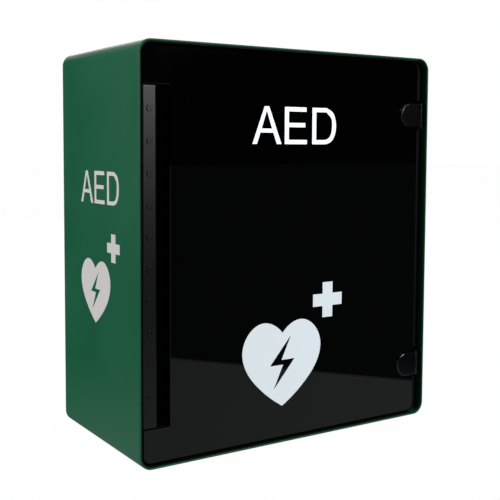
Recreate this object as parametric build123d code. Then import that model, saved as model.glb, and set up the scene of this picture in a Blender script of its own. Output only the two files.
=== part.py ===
from build123d import *
import os

# Cabinet. Origin: middle of the footprint on the standing face. Front faces -Y.
WIDTH = 379.0
HEIGHT = 423.0
DEPTH = 192.0
SHEET = 1.5
CORNER_R = 14.0
RIM_T = 2.0
RIM_DEPTH = 4.0
RIM_ROUND = 0.95
WALL_HOLE_R = 3.5
WALL_HOLE_DX = 300.0
WALL_HOLE_DZ = 300.0
WALL_HOLE_Z = 211.5

LEFT = -WIDTH / 2
RIGHT = WIDTH / 2
FRONT = -DEPTH / 2
BACK = DEPTH / 2
IN_RIGHT = RIGHT - SHEET
IN_TOP = HEIGHT - SHEET
IN_BACK = BACK - SHEET

# Door pane
PANE_T = 5.0
PANE_INSET = 3.0
PANE_MARGIN = 5.5
PANE_R = 8.5
PANE_RIGHT = 175.3
PANE_FRONT = FRONT + PANE_INSET
PANE_BACK = PANE_FRONT + PANE_T
NOTCH_X = LEFT + 35.6
NOTCH_Z0 = 40.0
NOTCH_Z1 = 380.2
NOTCH_R = 2.0
EDGE_BREAK = 0.4

# Inner frame behind the door
FLANGE_FRONT = FRONT + 9.5
FLANGE_BACK = FLANGE_FRONT + SHEET
OPEN_X0 = -137.5
OPEN_X1 = 166.0
OPEN_Z0 = 22.0
OPEN_Z1 = 401.0
OPEN_R = 10.0
LIP_DEPTH = 12.0
EDGE_LIP_INSET = 2.1
EDGE_LIP_T = 1.3
EDGE_LIP_FRONT = FRONT + 1.2
EDGE_LIP_END = 172.0

# Grip bar and finger pocket
BAR_X0 = LEFT + 4.7
BAR_X1 = LEFT + 21.0
BAR_GAP = 0.4
BAR_R = 2.0
BAR_SCREW_R = 1.6
BAR_HEAD_R = 3.3
BAR_HEAD_H = 0.7
BAR_SCREW_PITCH = 31.5
BAR_SCREW_TOP = 356.4
BAR_SCREWS = 10
SLOT_X0 = BAR_X1 + 0.4
SLOT_X1 = -145.5
POCKET_T = 1.2
POCKET_BACK = FLANGE_BACK + 22.0

# Hinges
HINGE_Z = (62.0, 356.8)
CAP_R = 14.0
CAP_X = 162.4
CAP_RIGHT = 177.4
CAP_FRONT = FRONT + 0.7
CAP_ROUND = 1.5
PAD_T = 0.4
CAP_BACK = PANE_FRONT - PAD_T
REAR_FRONT = PANE_BACK + PAD_T
REAR_BACK = REAR_FRONT + 3.0
PIN_X = 181.0
PIN_Y = -91.6
PIN_R = 2.0
PIN_PLAY = 0.05
KNUCKLE_R = 3.2
KNUCKLE_HALF = 6.0
LUG_GAP = 0.3
LUG_FRONT = FRONT + RIM_DEPTH + 0.2
WALL_PLATE_T = 1.6

# Defibrillator unit on its shelf
SHELF_TOP = 30.0
SHELF_T = 2.0
SHELF_HALF = 125.0
SHELF_FRONT = -45.0
UNIT_W = 210.0
UNIT_H = 225.0
UNIT_R = 28.0
UNIT_Z0 = 33.0
UNIT_FRONT = -2.0
UNIT_BACK = 86.0
SEAM_FRONT = 40.0
SEAM_BACK = 44.0
SHELL_T = 2.5
SHELL_ROUND = 7.0
UNIT_CZ = UNIT_Z0 + UNIT_H / 2
UNIT_TOP = UNIT_Z0 + UNIT_H
PANEL_T = 1.5
PANEL_FRONT = UNIT_FRONT - PANEL_T
POWER_AT = (-56.0, 122.0)
POWER_R = 12.0
SHOCK_AT = (0.0, 100.0)
SHOCK_R = 18.0
INFO_AT = (56.0, 122.0)
INFO_R = 8.0
BUTTON_PLAY = 0.3
BUTTON_PROUD = 3.0
CART_W = 130.0
CART_H = 78.0
CART_Z = 196.0
BATTERY_Y = (50.0, 76.0)
BATTERY_Z = (60.0, 180.0)

# Alarm module under the top
ALARM_X = (40.0, 150.0)
ALARM_Y = (-40.0, 40.0)
ALARM_Z0 = 372.0
ALARM_T = 2.5
ALARM_KEY_AT = (134.0, 396.0)
ALARM_TEST_AT = (110.0, 396.0)
ALARM_SIREN_AT = (68.0, 396.0)
ALARM_LED_AT = (122.0, 413.0)

# Signs
EM = 55.1
DECAL_T = 0.2
SIDE_SCALE = 0.728
SIDE_TEXT_SCALE = 0.868


def block(x0, x1, y0, y1, z0, z1):
    """Box between two corners."""
    mid = ((x0 + x1) / 2, (y0 + y1) / 2, (z0 + z1) / 2)
    return Pos(*mid) * Box(x1 - x0, y1 - y0, z1 - z0)


def front_plate(sketch, y0, y1):
    """Solid from a sketch in X and Z, reaching from y0 back to y1."""
    plane = Plane((0, y0, 0), x_dir=(1, 0, 0), z_dir=(0, -1, 0))
    return extrude(plane * sketch, -(y1 - y0))


def rod_y(x, z, radius, y0, y1):
    """Round bar along Y."""
    return Pos(x, (y0 + y1) / 2, z) * Rot(90, 0, 0) * Cylinder(radius, y1 - y0)


def rod_z(x, y, radius, z0, z1):
    """Round bar along Z."""
    return Pos(x, y, (z0 + z1) / 2) * Cylinder(radius, z1 - z0)


def save(shape, node):
    """Write one node."""
    export_step(shape, "parts/" + node + ".step")


def casing_outline(inset):
    """Casing outline seen from the front, moved in by inset."""
    width = WIDTH - 2 * inset
    height = HEIGHT - 2 * inset
    return Pos(0, HEIGHT / 2) * RectangleRounded(width, height, CORNER_R - inset)


def opening_outline(grow):
    """Main opening of the inner frame, grown by grow."""
    width = OPEN_X1 - OPEN_X0 + 2 * grow
    height = OPEN_Z1 - OPEN_Z0 + 2 * grow
    at = Pos((OPEN_X0 + OPEN_X1) / 2, (OPEN_Z0 + OPEN_Z1) / 2)
    return at * RectangleRounded(width, height, OPEN_R + grow)


# ---- casing ----

def casing():
    """Folded outer sleeve with a slightly thicker, rounded front rim."""
    tube = front_plate(casing_outline(0) - casing_outline(SHEET), FRONT, BACK)
    tube += front_plate(casing_outline(0) - casing_outline(RIM_T), FRONT, FRONT + RIM_DEPTH)
    rim = tube.edges().filter_by_position(Axis.Y, FRONT - 0.01, FRONT + 0.01)
    return fillet(rim, RIM_ROUND)


def back_panel():
    """Rear sheet with four wall fixing holes."""
    sheet = front_plate(casing_outline(SHEET), IN_BACK, BACK)
    for side in (-1, 1):
        for up in (-1, 1):
            x = side * WALL_HOLE_DX / 2
            z = WALL_HOLE_Z + up * WALL_HOLE_DZ / 2
            sheet -= rod_y(x, z, WALL_HOLE_R, IN_BACK - 1, BACK + 1)
    return sheet


def catch_places():
    """Centres of the two magnetic catches."""
    return [(-172.0, 399.0), (-172.0, 21.0)]


def inner_frame():
    """Front flange with an inner and an outer lip, slot, hinge notches and catch holes."""
    flange = front_plate(casing_outline(SHEET) - opening_outline(0), FLANGE_FRONT, FLANGE_BACK)
    ring = opening_outline(SHEET) - opening_outline(0)
    lip = front_plate(ring, FLANGE_BACK, FLANGE_BACK + LIP_DEPTH)
    edge = casing_outline(EDGE_LIP_INSET) - casing_outline(EDGE_LIP_INSET + EDGE_LIP_T)
    edge_lip = front_plate(edge, EDGE_LIP_FRONT, FLANGE_FRONT)
    edge_lip -= block(EDGE_LIP_END, RIGHT, FRONT, FLANGE_BACK, 0, HEIGHT)
    frame = flange + lip + edge_lip
    frame -= block(SLOT_X0, SLOT_X1, FLANGE_FRONT - 1, FLANGE_BACK + 1, NOTCH_Z0, NOTCH_Z1)
    for z in HINGE_Z:
        notch_half = CAP_R + 3.5
        frame -= block(148, IN_RIGHT + 1, FLANGE_FRONT - 1, FLANGE_BACK + 6,
                       z - notch_half, z + notch_half)
    for x, z in catch_places():
        frame -= block(x - 12, x + 12, FLANGE_FRONT - 1, FLANGE_BACK + 1, z - 6, z + 6)
    return frame


def frame_gasket():
    """Foam strips that the closed pane faces."""
    front = FLANGE_FRONT - 1.2
    strips = block(-150, 150, front, FLANGE_FRONT, 405, 411)
    strips += block(-150, 140, front, FLANGE_FRONT, 12, 18)
    strips += block(169, 174, front, FLANGE_FRONT, 82, 335)
    strips += block(-143.5, -138.5, front, FLANGE_FRONT, 45, 375)
    return strips


def bar_screw_heights():
    """Heights of the screws in the grip bar."""
    return [BAR_SCREW_TOP - BAR_SCREW_PITCH * i for i in range(BAR_SCREWS)]


def grip_bar():
    """Soft-edged upright bar beside the finger slot."""
    bar = block(BAR_X0, BAR_X1, PANE_FRONT, FLANGE_FRONT, NOTCH_Z0 + BAR_GAP, NOTCH_Z1 - BAR_GAP)
    front = bar.edges().filter_by_position(Axis.Y, PANE_FRONT - 0.01, PANE_FRONT + 0.01)
    bar = fillet(front, BAR_R)
    x = (BAR_X0 + BAR_X1) / 2
    for z in bar_screw_heights():
        bar -= rod_y(x, z, BAR_SCREW_R, PANE_FRONT - 1, FLANGE_FRONT + 1)
    return bar


def grip_bar_screws():
    """Low button-head screws with hexagon sockets."""
    x = (BAR_X0 + BAR_X1) / 2
    face = PANE_FRONT - BAR_HEAD_H
    group = []
    for z in bar_screw_heights():
        head = rod_y(x, z, BAR_HEAD_R, face, PANE_FRONT)
        rim = head.edges().filter_by_position(Axis.Y, face - 0.01, face + 0.01)
        screw = fillet(rim, BAR_HEAD_H - 0.1) + rod_y(x, z, BAR_SCREW_R, PANE_FRONT, FLANGE_FRONT)
        screw -= Pos(x, face, z) * Rot(90, 0, 0) * extrude(RegularPolygon(1.3, 6), 0.5, both=True)
        group.append(screw)
    return Compound(group)


def finger_pocket():
    """Folded channel behind the slot, closed at both ends."""
    grow = POCKET_T
    outer = block(SLOT_X0 - grow, SLOT_X1 + grow, FLANGE_BACK, POCKET_BACK,
                  NOTCH_Z0 - grow, NOTCH_Z1 + grow)
    inner = block(SLOT_X0, SLOT_X1, FLANGE_BACK - 1, POCKET_BACK - POCKET_T, NOTCH_Z0, NOTCH_Z1)
    return outer - inner


# ---- door ----

def pane():
    """Pane outline with a tall notch on its free edge."""
    left = LEFT + PANE_MARGIN
    bottom = PANE_MARGIN
    top = HEIGHT - PANE_MARGIN
    middle = Pos((left + PANE_RIGHT) / 2, (bottom + top) / 2)
    outline = middle * RectangleRounded(PANE_RIGHT - left, top - bottom, PANE_R)
    notch = Pos((LEFT + NOTCH_X) / 2, (NOTCH_Z0 + NOTCH_Z1) / 2) * Rectangle(
        NOTCH_X - LEFT, NOTCH_Z1 - NOTCH_Z0)
    outline -= notch
    inner = outline.vertices().filter_by_position(Axis.X, NOTCH_X - 0.01, NOTCH_X + 0.01)
    outline = fillet(inner, NOTCH_R)
    plate = front_plate(outline, PANE_FRONT, PANE_BACK)
    front = plate.edges().filter_by_position(Axis.Y, PANE_FRONT - 0.01, PANE_FRONT + 0.01)
    return chamfer(front, EDGE_BREAK)


def door_strikes():
    """Steel discs behind the two free corners of the pane."""
    return Compound([rod_y(x, z, 8, PANE_BACK, PANE_BACK + 1.1) for x, z in catch_places()])


def sensor_magnet():
    """Magnet behind the pane for the door sensor."""
    magnet = block(90, 115, PANE_BACK, PANE_BACK + 5, 388, 396)
    return fillet(magnet.edges().filter_by(Axis.Y), 1.0)


def hinge_cap_outline(z):
    """Half-round cap that runs straight to its right-hand edge."""
    disc = Pos(CAP_X, z) * Circle(CAP_R)
    disc &= Pos(CAP_X - CAP_R, z) * Rectangle(2 * CAP_R, 3 * CAP_R)
    bridge = Pos((CAP_X + CAP_RIGHT) / 2, z) * Rectangle(CAP_RIGHT - CAP_X, 2 * CAP_R)
    return disc + bridge


def hinge_clamp(z):
    """Clamp around the edge of the pane with the turning knuckle."""
    cap = front_plate(hinge_cap_outline(z), CAP_FRONT, CAP_BACK)
    cap = fillet(cap.edges().filter_by_position(Axis.Y, CAP_FRONT - 0.01, CAP_FRONT + 0.01), CAP_ROUND)
    rear = front_plate(hinge_cap_outline(z), REAR_FRONT, REAR_BACK)
    web = block(PANE_RIGHT + 0.3, CAP_RIGHT, CAP_BACK, REAR_FRONT, z - CAP_R, z + CAP_R)
    low = z - KNUCKLE_HALF
    high = z + KNUCKLE_HALF
    knuckle = rod_z(PIN_X, PIN_Y, KNUCKLE_R, low, high)
    neck = block(CAP_RIGHT, PIN_X, PIN_Y - 2.6, PIN_Y + KNUCKLE_R, low, high)
    body = cap + rear + web + neck + knuckle
    return body - rod_z(PIN_X, PIN_Y, PIN_R + PIN_PLAY, low - 1, high + 1)


def clamp_screw_spots():
    """Screw centres on the rear plates of the hinges."""
    return [(163.0, z + dz) for z in HINGE_Z for dz in (-6.5, 6.5)]


def hinge_clamps():
    """Both clamps, tapped for the clamping screws."""
    group = []
    for z in HINGE_Z:
        clamp = hinge_clamp(z)
        for dz in (-6.5, 6.5):
            clamp -= rod_y(163.0, z + dz, 2.0, REAR_FRONT - 0.1, REAR_BACK + 1)
        group.append(clamp)
    return Compound(group)


def hinge_screws():
    """Clamping screws through the rear plates."""
    group = []
    for x, z in clamp_screw_spots():
        screw = rod_y(x, z, 2.0, REAR_FRONT, REAR_BACK)
        screw += rod_y(x, z, 3.6, REAR_BACK, REAR_BACK + 2)
        screw -= rod_y(x, z, 1.4, REAR_BACK + 0.8, REAR_BACK + 3)
        group.append(screw)
    return Compound(group)


def hinge_pads():
    """Thin pads between clamp and pane, front and back."""
    group = []
    for z in HINGE_Z:
        shape = Pos(CAP_X, z) * Circle(CAP_R - 1)
        shape &= Pos(PANE_RIGHT - 2 * CAP_R, z) * Rectangle(4 * CAP_R, 3 * CAP_R)
        group.append(front_plate(shape, CAP_BACK, PANE_FRONT))
        group.append(front_plate(shape, PANE_BACK, REAR_FRONT))
    return Compound(group)


def hinge_bracket(z):
    """Fixed half of a hinge: plate on the side wall with two lugs."""
    plate_x = IN_RIGHT - WALL_PLATE_T
    bracket = block(plate_x, IN_RIGHT, LUG_FRONT, -66, z - CAP_R, z + CAP_R)
    for side in (-1, 1):
        near = z + side * (KNUCKLE_HALF + LUG_GAP)
        far = z + side * CAP_R
        low = min(near, far)
        high = max(near, far)
        bracket += rod_z(PIN_X, PIN_Y, KNUCKLE_R, low, high)
        bracket += block(PIN_X, plate_x, LUG_FRONT, PIN_Y + KNUCKLE_R, low, high)
    return bracket - rod_z(PIN_X, PIN_Y, PIN_R, z - CAP_R - 1, z + CAP_R + 1)


def hinge_pins():
    """Pins pressed into the lugs."""
    return Compound([rod_z(PIN_X, PIN_Y, PIN_R, z - CAP_R, z + CAP_R) for z in HINGE_Z])


# ---- catches and sensor ----

def catch_magnets():
    """Magnets of the two catches."""
    front = FLANGE_FRONT
    return Compound([block(x - 8, x + 8, front, front + 6, z - 3, z + 3) for x, z in catch_places()])


def catch_housings():
    """Plastic housings around the catch magnets."""
    group = []
    for x, z in catch_places():
        housing = block(x - 12, x + 12, FLANGE_FRONT, FLANGE_FRONT + 12, z - 6, z + 6)
        group.append(housing - block(x - 8, x + 8, FLANGE_FRONT, FLANGE_FRONT + 6, z - 3, z + 3))
    return Compound(group)


def reed_sensor():
    """Door sensor hung under the folded lip."""
    body = block(88, 117, -79, -73, 391, OPEN_Z1)
    return fillet(body.edges().filter_by(Axis.Y).group_by(Axis.Z)[0], 1.5)


def lead(points, start, end, radius):
    """Round lead along a smooth path that leaves and arrives square."""
    path = Spline(*points, tangents=[start, end])
    section = Plane(path @ 0, z_dir=path % 0) * Circle(radius)
    return sweep(section, path)


# ---- defibrillator shelf and unit ----

def shelf():
    """Folded shelf with a front lip, side legs, feet and a rear flange."""
    low = SHELF_TOP - SHELF_T
    plate = block(-SHELF_HALF, SHELF_HALF, SHELF_FRONT, IN_BACK, low, SHELF_TOP)
    plate += block(-SHELF_HALF, SHELF_HALF, SHELF_FRONT - SHELF_T, SHELF_FRONT, low, SHELF_TOP + 14)
    plate += block(-SHELF_HALF, SHELF_HALF, IN_BACK - SHELF_T, IN_BACK, SHELF_TOP, SHELF_TOP + 34)
    for side in (-1, 1):
        outer = side * SHELF_HALF
        inner = side * (SHELF_HALF - SHELF_T)
        foot = side * (SHELF_HALF - 14)
        plate += block(min(outer, inner), max(outer, inner), SHELF_FRONT, IN_BACK, SHEET, low)
        plate += block(min(outer, foot), max(outer, foot), SHELF_FRONT, IN_BACK, SHEET, SHEET + SHELF_T)
    for i in range(7):
        x = -78 + 26 * i
        plate -= Pos(x, 26, SHELF_TOP) * extrude(SlotOverall(70, 8, rotation=90), 5, both=True)
    return plate


def shelf_screws():
    """Pan-head screws in the rear flange."""
    group = []
    for x in (-100, -35, 35, 100):
        screw = rod_y(x, SHELF_TOP + 22, 4.0, IN_BACK - SHELF_T - 2.4, IN_BACK - SHELF_T)
        cross = Box(5, 1.6, 1.1) + Box(1.1, 1.6, 5)
        screw -= Pos(x, IN_BACK - SHELF_T - 2.4, SHELF_TOP + 22) * cross
        group.append(screw)
    return Compound(group)


def unit_outline(grow):
    """Unit outline seen from the front."""
    return Pos(0, UNIT_CZ) * RectangleRounded(UNIT_W + 2 * grow, UNIT_H + 2 * grow, UNIT_R + grow)


def battery_box(grow):
    """Space of the battery pack, grown by grow all round."""
    return block(-UNIT_W / 2 - 3, -48, BATTERY_Y[0] - grow, BATTERY_Y[1] + grow,
                 BATTERY_Z[0] - grow, BATTERY_Z[1] + grow)


def unit_rear_shell():
    """Hollow rear shell with a side mouth for the battery."""
    shell = front_plate(unit_outline(0), SEAM_BACK, UNIT_BACK)
    rear = shell.edges().filter_by_position(Axis.Y, UNIT_BACK - 0.01, UNIT_BACK + 0.01)
    shell = fillet(rear, SHELL_ROUND)
    shell -= front_plate(unit_outline(-SHELL_T), SEAM_BACK - 1, UNIT_BACK - SHELL_ROUND)
    return shell - battery_box(BUTTON_PLAY)


def button_places():
    """Centre and radius of the three buttons."""
    return [(POWER_AT, POWER_R), (SHOCK_AT, SHOCK_R), (INFO_AT, INFO_R)]


def cartridge_box(grow, y0, y1):
    """Space of the pads cartridge, grown by grow all round."""
    outline = Pos(0, CART_Z) * RectangleRounded(CART_W + 2 * grow, CART_H + 2 * grow, 10 + grow)
    return front_plate(outline, y0, y1)


def grille_holes(cx, cz, cols, rows, pitch, radius, y0, y1):
    """Even grid of sound holes."""
    holes = []
    for i in range(cols):
        for j in range(rows):
            x = cx + (i - (cols - 1) / 2) * pitch
            z = cz + (j - (rows - 1) / 2) * pitch
            holes.append(rod_y(x, z, radius, y0, y1))
    return holes


def unit_front_shell():
    """Hollow front shell with button bores and the cartridge bay."""
    shell = front_plate(unit_outline(0), UNIT_FRONT, SEAM_FRONT)
    front = shell.edges().filter_by_position(Axis.Y, UNIT_FRONT - 0.01, UNIT_FRONT + 0.01)
    shell = fillet(front, SHELL_ROUND)
    shell -= front_plate(unit_outline(-SHELL_ROUND), UNIT_FRONT + SHELL_T, UNIT_FRONT + SHELL_ROUND)
    shell -= front_plate(unit_outline(-SHELL_T), UNIT_FRONT + SHELL_ROUND, SEAM_FRONT + 1)
    for at, radius in button_places():
        shell -= rod_y(at[0], at[1], radius + BUTTON_PLAY, UNIT_FRONT - 1, UNIT_FRONT + 9)
    shell += cartridge_box(BUTTON_PLAY + 2, UNIT_FRONT + SHELL_T, 29)
    return shell - cartridge_box(BUTTON_PLAY, UNIT_FRONT - 1, 27)


def unit_panel():
    """Dark fascia on the front shell."""
    plate = front_plate(Pos(0, 143) * RectangleRounded(176, 192, 16), PANEL_FRONT, UNIT_FRONT)
    for at, radius in button_places():
        plate -= rod_y(at[0], at[1], radius + 3, PANEL_FRONT - 1, UNIT_FRONT + 1)
    plate -= cartridge_box(BUTTON_PLAY, PANEL_FRONT - 1, UNIT_FRONT + 1)
    for hole in grille_holes(0, 62, 13, 3, 5, 1.2, PANEL_FRONT - 1, UNIT_FRONT + 1):
        plate -= hole
    return plate - rod_y(66, 66, 5, PANEL_FRONT - 1, UNIT_FRONT + 1)


def unit_bezels():
    """Raised rings around the buttons."""
    group = []
    for at, radius in button_places():
        ring = rod_y(at[0], at[1], radius + 3, PANEL_FRONT - 1.2, UNIT_FRONT)
        group.append(ring - rod_y(at[0], at[1], radius + BUTTON_PLAY, PANEL_FRONT - 3, UNIT_FRONT + 1))
    return Compound(group)


def unit_button(at, radius):
    """Domed button with a retaining collar inside the shell."""
    cap = rod_y(at[0], at[1], radius, PANEL_FRONT - BUTTON_PROUD, UNIT_FRONT + 8)
    face = cap.edges().filter_by_position(Axis.Y, PANEL_FRONT - BUTTON_PROUD - 0.01,
                                          PANEL_FRONT - BUTTON_PROUD + 0.01)
    cap = fillet(face, 1.6)
    collar_front = UNIT_FRONT + SHELL_T + BUTTON_PLAY
    return cap + rod_y(at[0], at[1], radius + 1.5, collar_front, collar_front + 2)


def button_ring_symbol(at, radius, y):
    """Power sign: broken ring with a short bar."""
    ring = Circle(radius) - Circle(radius - 1)
    ring -= Pos(0, radius) * Rectangle(radius * 0.9, radius)
    ring += Pos(0, radius * 0.75) * Rectangle(1, radius * 1.1)
    return front_plate(Pos(at[0], at[1]) * ring, y - 0.2, y)


def bolt_outline():
    """Lightning flash about its own middle."""
    return make_face(Polyline((11.6, 29.2), (-16.3, -2.7), (1.0, -2.7), (-11.6, -29.2),
                              (16.3, 2.7), (-1.0, 2.7), close=True))


def info_outline():
    """Small letter i about its own middle."""
    return Pos(0, -1.2) * Rectangle(1.5, 5) + Pos(0, 3) * Circle(0.95)


def unit_cartridge():
    """Electrode pads cartridge with a pull recess."""
    body = cartridge_box(0, PANEL_FRONT - 4, 25)
    front = body.edges().filter_by_position(Axis.Y, PANEL_FRONT - 4.01, PANEL_FRONT - 3.99)
    body = fillet(front, 2.0)
    pull = Pos(0, CART_Z - 25) * SlotOverall(60, 14)
    return body - front_plate(pull, PANEL_FRONT - 5, PANEL_FRONT + 6)


def unit_battery():
    """Battery pack with a ribbed end."""
    pack = block(-UNIT_W / 2, -50, BATTERY_Y[0], BATTERY_Y[1], BATTERY_Z[0], BATTERY_Z[1])
    end = block(-UNIT_W / 2 - 3, -UNIT_W / 2, BATTERY_Y[0], BATTERY_Y[1], BATTERY_Z[0], BATTERY_Z[1])
    pack += fillet(end.edges().group_by(Axis.X)[0], 1.2)
    for i in range(5):
        pack -= block(-UNIT_W / 2 - 4, -UNIT_W / 2 - 2, BATTERY_Y[0] + 4, BATTERY_Y[1] - 4,
                      105 + 7 * i, 108 + 7 * i)
    return pack


def unit_bumper():
    """Rubber band between the two shells."""
    band = front_plate(unit_outline(2) - unit_outline(-SHELL_T), SEAM_FRONT, SEAM_BACK)
    return band


def unit_handle():
    """Carry handle on top of the shells."""
    outer = Pos(0, UNIT_TOP + 17) * RectangleRounded(124, 34, 12)
    outer += Pos(0, UNIT_TOP + 8) * Rectangle(124, 16)
    inner = Pos(0, UNIT_TOP + 11) * RectangleRounded(94, 18, 8)
    inner += Pos(0, UNIT_TOP + 4) * Rectangle(94, 12)
    bar = front_plate(outer - inner, 10, 36)
    long_edges = bar.edges().filter_by_position(Axis.Z, UNIT_TOP + 33.99, UNIT_TOP + 34.01)
    return fillet(long_edges.filter_by(Axis.X), 4)


def unit_feet():
    """Rubber feet under the unit."""
    return Compound([rod_z(x, y, 8, SHELF_TOP, UNIT_Z0) for x in (-62, 62) for y in (14, 68)])


# ---- alarm and light ----

def alarm_case():
    """Case under the top, open upwards."""
    case = block(ALARM_X[0], ALARM_X[1], ALARM_Y[0], ALARM_Y[1], ALARM_Z0, IN_TOP)
    low = case.edges().group_by(Axis.Z)[0]
    case = fillet(low, 4)
    case -= block(ALARM_X[0] + ALARM_T, ALARM_X[1] - ALARM_T, ALARM_Y[0] + ALARM_T,
                  ALARM_Y[1] - ALARM_T, ALARM_Z0 + 4, IN_TOP + 1)
    face = ALARM_Y[0]
    case -= rod_y(ALARM_SIREN_AT[0], ALARM_SIREN_AT[1], 18, face - 1, face + ALARM_T + 1)
    case -= rod_y(ALARM_TEST_AT[0], ALARM_TEST_AT[1], 6.3, face - 1, face + ALARM_T + 1)
    case -= rod_y(ALARM_KEY_AT[0], ALARM_KEY_AT[1], 8, face - 1, face + ALARM_T + 1)
    return case - rod_y(ALARM_LED_AT[0], ALARM_LED_AT[1], 2.5, face - 1, face + ALARM_T + 1)


def alarm_siren():
    """Perforated siren cover."""
    face = ALARM_Y[0]
    cover = rod_y(ALARM_SIREN_AT[0], ALARM_SIREN_AT[1], 18, face - 1, face + ALARM_T)
    for ring, count in ((4, 6), (8.5, 12), (13, 18)):
        for i in range(count):
            turn = Rot(0, 0, 360 / count * i) * Pos(ring, 0)
            spot = turn.position
            cover -= rod_y(ALARM_SIREN_AT[0] + spot.X, ALARM_SIREN_AT[1] + spot.Y, 1.3,
                           face - 2, face + ALARM_T + 1)
    return cover


def alarm_button():
    """Round test button with a collar."""
    face = ALARM_Y[0]
    cap = rod_y(ALARM_TEST_AT[0], ALARM_TEST_AT[1], 6, face - 3, face + 7)
    front = cap.edges().filter_by_position(Axis.Y, face - 3.01, face - 2.99)
    cap = fillet(front, 0.8)
    collar = face + ALARM_T + BUTTON_PLAY
    return cap + rod_y(ALARM_TEST_AT[0], ALARM_TEST_AT[1], 7.5, collar, collar + 2)


def alarm_lock():
    """Lock barrel around the key plug."""
    face = ALARM_Y[0]
    barrel = rod_y(ALARM_KEY_AT[0], ALARM_KEY_AT[1], 8, face - 2, face + 16)
    return barrel - rod_y(ALARM_KEY_AT[0], ALARM_KEY_AT[1], 5.05, face - 3, face + 14)


def alarm_key():
    """Key plug with the key left in it."""
    face = ALARM_Y[0]
    plug = rod_y(ALARM_KEY_AT[0], ALARM_KEY_AT[1], 5, face - 2, face + 13.7)
    x = ALARM_KEY_AT[0]
    z = ALARM_KEY_AT[1]
    blade = block(x - 1, x + 1, face - 8, face - 2, z - 3.5, z + 3.5)
    outline = Pos(face - 15, 0) * RectangleRounded(14, 20, 5) - Pos(face - 18, 0) * Circle(2.5)
    plane = Plane((x - 1, 0, z), x_dir=(0, 1, 0), z_dir=(1, 0, 0))
    return plug + blade + extrude(plane * outline, 2)


def led_housing():
    """Aluminium light bar channel under the top."""
    channel = block(-120, 30, -66, -50, 410, IN_TOP)
    return channel - block(-118, 28, -64.5, -51.5, 409, 418)


def led_diffuser():
    """Milky cover of the light bar."""
    return block(-118, 28, -64.5, -51.5, 409.2, 412)


# ---- signs ----

def letter_a():
    """Capital A, one em high units."""
    outer = make_face(Polyline((0, 0), (0.275, 0.716), (0.377, 0.716), (0.67, 0), (0.562, 0),
                               (0.478, 0.217), (0.179, 0.217), (0.1, 0), close=True))
    hole = make_face(Polyline((0.207, 0.294), (0.45, 0.294), (0.325, 0.64), close=True))
    return outer - hole


def letter_e():
    """Capital E."""
    return make_face(Polyline((0, 0), (0, 0.716), (0.518, 0.716), (0.518, 0.631), (0.095, 0.631),
                              (0.095, 0.412), (0.491, 0.412), (0.491, 0.328), (0.095, 0.328),
                              (0.095, 0.084), (0.534, 0.084), (0.534, 0), close=True))


def bowl(low_start, curve_points, high_end):
    """Closed D shape from its stem ends and the points of its round side."""
    low = Line(low_start, curve_points[0])
    curve = Spline(*curve_points, tangents=[(1, 0), (-1, 0)])
    high = Line(curve_points[-1], high_end)
    return make_face(low + curve + high + Line(high_end, low_start))


def letter_d():
    """Capital D."""
    outer = bowl((0, 0), [(0.258, 0), (0.373, 0.012), (0.459, 0.048), (0.524, 0.113), (0.573, 0.217),
                          (0.592, 0.362), (0.564, 0.532), (0.479, 0.654), (0.374, 0.706),
                          (0.247, 0.716)], (0, 0.716))
    inner = bowl((0.095, 0.084), [(0.248, 0.084), (0.359, 0.098), (0.423, 0.135), (0.475, 0.225),
                                  (0.494, 0.363), (0.457, 0.536), (0.368, 0.617), (0.245, 0.631)],
                 (0.095, 0.631))
    return outer - inner


def word(em):
    """AED about its own middle, for an em of this size."""
    group = []
    for letter, start in ((letter_a(), 0), (letter_e(), 0.747), (letter_d(), 1.412)):
        group.append(Pos((start - 1.002) * em, -0.358 * em) * scale(letter, by=em))
    return Sketch() + group


def heart_outline():
    """Heart about the middle of its flash."""
    right = Spline((0, 32.0), (5.9, 38.0), (26.0, 44.9), (44.6, 34.0), (51.6, 14.8), (45.0, -7.0),
                   (32.0, -23.0), (14.4, -38.2), (0, -47.8))
    left = Spline((0, -47.8), (-14.4, -38.2), (-32.0, -23.0), (-45.0, -7.0), (-51.6, 14.8),
                  (-44.6, 34.0), (-26.0, 44.9), (-5.9, 38.0), (0, 32.0))
    return make_face(right + left)


def cross_outline():
    """Equal cross."""
    return Rectangle(40.2, 13.8) + Rectangle(13.8, 39.2)


def door_sign(sketch, x, z):
    """Vinyl on the face of the pane."""
    return front_plate(Pos(LEFT + x, z) * sketch, PANE_FRONT - DECAL_T, PANE_FRONT)


def side_sign(sketch, depth, z, side):
    """Vinyl on a side wall, readable from outside; side is -1 or 1."""
    face_x = side * WIDTH / 2
    plane = Plane((face_x, 0, 0), x_dir=(0, side, 0), z_dir=(side, 0, 0))
    return extrude(plane * Pos(side * (FRONT + depth), z) * sketch, DECAL_T)


def side_word(side):
    """Letters on a side wall."""
    return side_sign(word(EM * SIDE_TEXT_SCALE), 92.8, 276.4, side)


def side_heart(side):
    """Heart on a side wall."""
    sign = heart_outline() - bolt_outline()
    return side_sign(scale(sign, by=SIDE_SCALE), 104.0, 166.2, side)


def side_cross(side):
    """Cross on a side wall, towards the front edge."""
    return side_sign(scale(cross_outline(), by=SIDE_SCALE + 0.02), 58.7, 215.2, side)


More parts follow.
